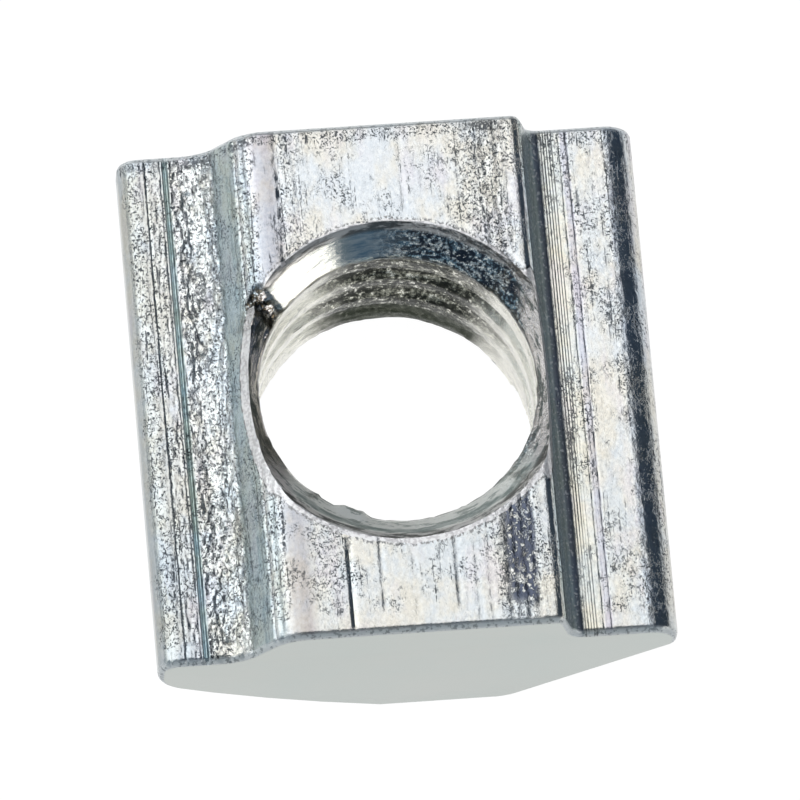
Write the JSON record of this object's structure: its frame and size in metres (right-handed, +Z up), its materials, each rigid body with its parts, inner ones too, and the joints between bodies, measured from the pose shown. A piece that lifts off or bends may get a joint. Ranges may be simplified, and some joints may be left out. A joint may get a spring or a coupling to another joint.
{
  "type": "t slot nut",
  "caption": "Slide-in T slot nut for an 8 mm profile slot: raised boss, two wings, bevelled underside, threaded M8 hole countersunk at both mouths.",
  "frame": {"origin": "on the thread's axis, in the plane of the flat underside", "axes": "+Z up through the boss, along the thread; +Y along the slot, towards the back end; +X across the slot"},
  "size_m": [0.0124, 0.0129, 0.0054],
  "materials": {
    "zinc_plated_steel": "bright zinc plate over cold-drawn steel, with drawing lines along the slot and a fine crinkle on the top faces"
  },
  "bodies": {
    "root": {"t_slot_nut": "zinc_plated_steel"}
  },
  "joints": []
}
